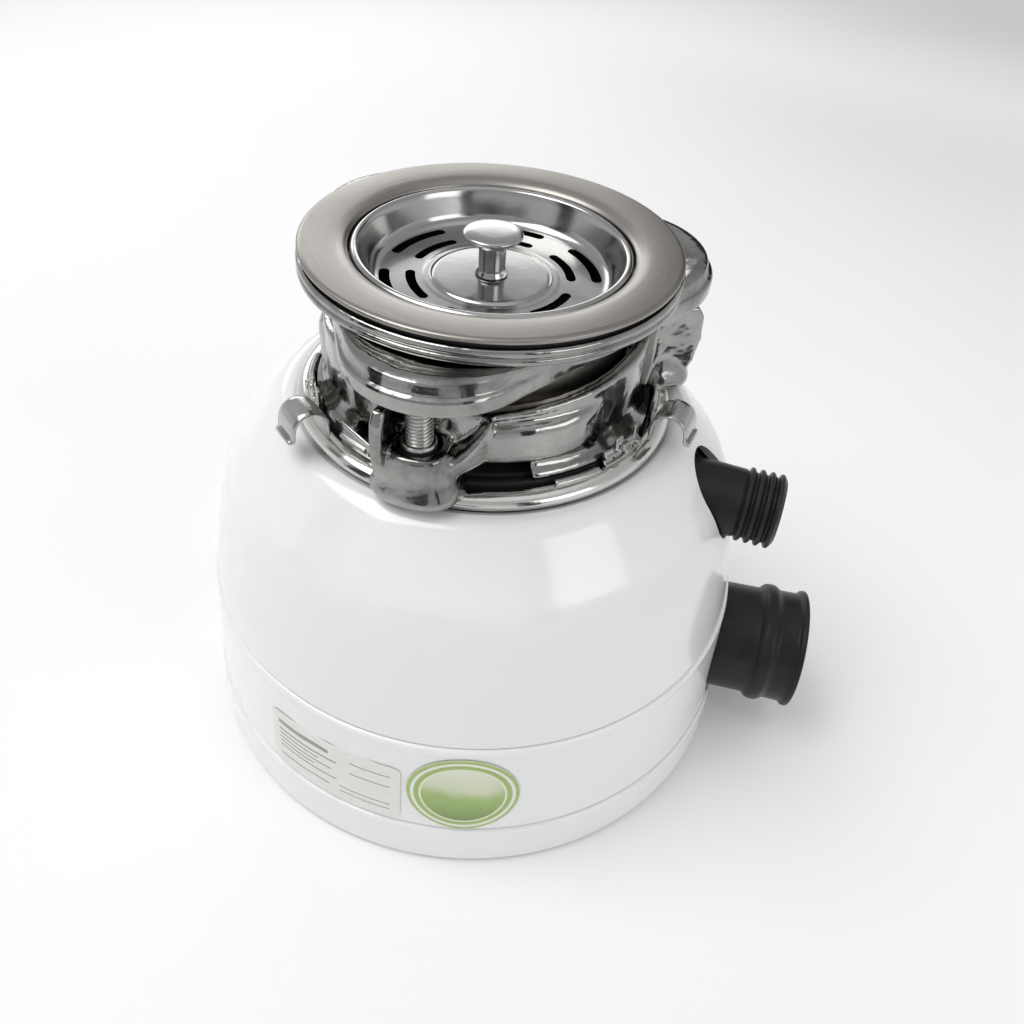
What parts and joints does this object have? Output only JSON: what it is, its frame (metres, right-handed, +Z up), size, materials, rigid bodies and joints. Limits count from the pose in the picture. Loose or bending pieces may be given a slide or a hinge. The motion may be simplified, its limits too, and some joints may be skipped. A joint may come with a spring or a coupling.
{
  "type": "food waste disposer",
  "caption": "Under-sink food waste disposer with a sink flange, strainer, three-screw twist mount, round white housing, hose inlet and side drain outlet.",
  "frame": {"origin": "centre of the flat underside of the base, on the axis of the housing", "axes": "+Z up along the axis of the motor and sink flange, +X out along the drain outlet, -Y towards the rating label"},
  "size_m": [0.2326, 0.202, 0.1854],
  "materials": {
    "brushed_rim": "fine circular brushing",
    "cast_metal": "bright, lightly uneven casting",
    "polished_steel": "polished",
    "steel": "plain bright steel",
    "black_rubber": "matt",
    "white_plastic": "glossy",
    "black_plastic": "satin",
    "grey_cast": "as cast",
    "copper": "wound copper",
    "dark_ceramic": "matt",
    "red_plastic": "glossy",
    "label_paper": "matt",
    "sticker_film": "glossy"
  },
  "bodies": {
    "housing": {"sink_flange": "brushed_rim", "backup_plate": "cast_metal", "mount_ring": "cast_metal", "snap_ring": "steel", "grind_chamber": "steel", "shredder_ring": "steel", "housing_bolt_a": "steel", "housing_bolt_b": "steel", "housing_bolt_c": "steel", "upper_bearing": "steel", "lower_bearing": "steel", "motor_can": "steel", "flange_gasket": "black_rubber", "cushion_mount": "black_rubber", "splash_guard": "black_rubber", "shaft_seal": "black_rubber", "sound_liner": "black_rubber", "dishwasher_inlet": "black_rubber", "discharge_sleeve": "black_rubber", "upper_shell": "white_plastic", "middle_shell": "white_plastic", "base_shell": "white_plastic", "discharge_elbow": "black_plastic", "cord_gland": "black_plastic", "brush_holder_a": "black_plastic", "brush_holder_b": "black_plastic", "overload_switch": "black_plastic", "chamber_base": "grey_cast", "motor_bracket": "grey_cast", "end_bell": "grey_cast", "magnet_a": "dark_ceramic", "magnet_b": "dark_ceramic", "rating_label": "label_paper", "round_sticker": "sticker_film"},
    "rotor": {"turntable": "steel", "turntable_nut": "steel", "motor_shaft": "steel", "armature": "copper", "commutator": "copper", "impeller_rivet_a": "steel", "impeller_rivet_b": "steel"},
    "impeller_a": {"impeller_a": "steel"},
    "impeller_b": {"impeller_b": "steel"},
    "lock_ring": {"lock_ring": "steel"},
    "strainer": {"strainer_basket": "polished_steel", "strainer_handle": "polished_steel", "strainer_nut": "steel", "strainer_seal": "black_rubber"},
    "mount_screw_a": {"mount_screw_a": "steel"},
    "mount_screw_b": {"mount_screw_b": "steel"},
    "mount_screw_c": {"mount_screw_c": "steel"},
    "screw_collar_a": {"screw_collar_a": "steel"},
    "screw_collar_b": {"screw_collar_b": "steel"},
    "screw_collar_c": {"screw_collar_c": "steel"},
    "reset_button": {"reset_button": "red_plastic"},
    "carbon_brush_a": {"carbon_brush_a": "dark_ceramic"},
    "carbon_brush_b": {"carbon_brush_b": "dark_ceramic"}
  },
  "joints": [
    {"name": "rotor_spin", "type": "hinge", "parent": "housing", "child": "rotor", "pos_m": [0, 0, 0.089], "axis": [0, 0, 1], "continuous": true},
    {"name": "impeller_a_swing", "type": "hinge", "parent": "rotor", "child": "impeller_a", "pos_m": [0.019, 0.03291, 0.0928], "axis": [0, 0, 1], "continuous": true},
    {"name": "impeller_b_swing", "type": "hinge", "parent": "rotor", "child": "impeller_b", "pos_m": [-0.019, -0.03291, 0.0928], "axis": [0, 0, 1], "continuous": true},
    {"name": "lock_ring_twist", "type": "hinge", "parent": "housing", "child": "lock_ring", "pos_m": [0, 0, 0.131], "axis": [0, 0, 1], "range_deg": [-25, 0]},
    {"name": "strainer_lift", "type": "slide", "parent": "housing", "child": "strainer", "axis": [0, 0, 1], "range_m": [0, 0.06]},
    {"name": "mount_screw_a_turn", "type": "hinge", "parent": "housing", "child": "mount_screw_a", "pos_m": [-0.0051, -0.05828, 0.15], "axis": [0, 0, 1], "continuous": true},
    {"name": "screw_collar_a_turn", "type": "hinge", "parent": "mount_screw_a", "child": "screw_collar_a", "pos_m": [-0.0051, -0.05828, 0.147], "axis": [0, 0, 1], "continuous": true},
    {"name": "mount_screw_b_turn", "type": "hinge", "parent": "housing", "child": "mount_screw_b", "pos_m": [0.05302, 0.02472, 0.15], "axis": [0, 0, 1], "continuous": true},
    {"name": "screw_collar_b_turn", "type": "hinge", "parent": "mount_screw_b", "child": "screw_collar_b", "pos_m": [0.05302, 0.02472, 0.147], "axis": [0, 0, 1], "continuous": true},
    {"name": "mount_screw_c_turn", "type": "hinge", "parent": "housing", "child": "mount_screw_c", "pos_m": [-0.04792, 0.03355, 0.15], "axis": [0, 0, 1], "continuous": true},
    {"name": "screw_collar_c_turn", "type": "hinge", "parent": "mount_screw_c", "child": "screw_collar_c", "pos_m": [-0.04792, 0.03355, 0.147], "axis": [0, 0, 1], "continuous": true},
    {"name": "reset_button_press", "type": "slide", "parent": "housing", "child": "reset_button", "axis": [0, 0, 1], "range_m": [0, 0.002], "stiffness_N_per_m": 300, "springref_m": -0.001},
    {"name": "carbon_brush_a_follow", "type": "slide", "parent": "housing", "child": "carbon_brush_a", "axis": [1, 0, 0], "range_m": [0, 0.004], "stiffness_N_per_m": 80, "springref_m": -0.004},
    {"name": "carbon_brush_b_follow", "type": "slide", "parent": "housing", "child": "carbon_brush_b", "axis": [-1, 0, 0], "range_m": [0, 0.004], "stiffness_N_per_m": 80, "springref_m": -0.004}
  ]
}
